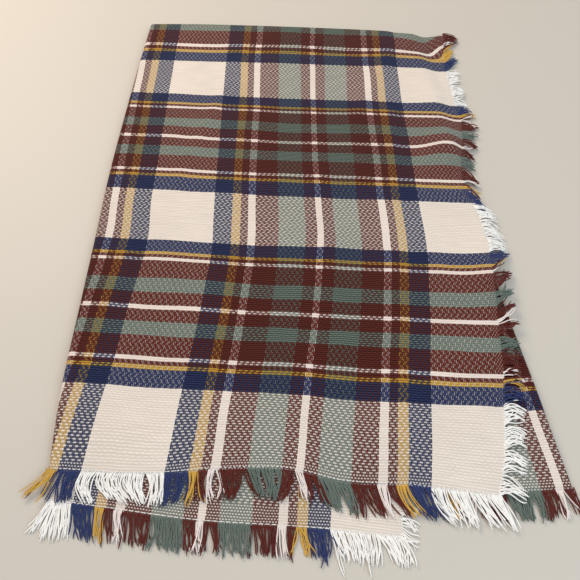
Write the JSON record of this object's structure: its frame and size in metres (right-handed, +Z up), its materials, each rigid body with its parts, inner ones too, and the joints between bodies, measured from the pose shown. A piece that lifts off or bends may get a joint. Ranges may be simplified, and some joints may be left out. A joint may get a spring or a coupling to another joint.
{
  "type": "folded blanket scarf",
  "caption": "Large fringed plaid wrap, woven in one piece and folded flat into a layered rectangle.",
  "frame": {"origin": "on the surface the scarf lies on, under the middle of the folded bundle", "axes": "+X towards the raw side edge of the top panel and the right fold, +Y towards the fold at the back, +Z up"},
  "size_m": [0.6862, 1.0686, 0.023],
  "materials": {
    "plaid_cloth": "brushed acrylic twill in a plaid of cream, maroon, sage, navy and mustard",
    "inner_plies": "edges of the folded plies of the same cloth",
    "fringe_yarn": "loose single yarns of the cloth, in the colours of its stripes"
  },
  "bodies": {
    "root": {"top_panel": "plaid_cloth", "second_panel": "plaid_cloth", "right_flap": "plaid_cloth", "hidden_layers": "inner_plies", "top_end_fringe": "fringe_yarn", "top_side_fringe": "fringe_yarn", "second_end_fringe": "fringe_yarn", "second_side_fringe": "fringe_yarn", "flap_end_fringe": "fringe_yarn"}
  },
  "joints": []
}
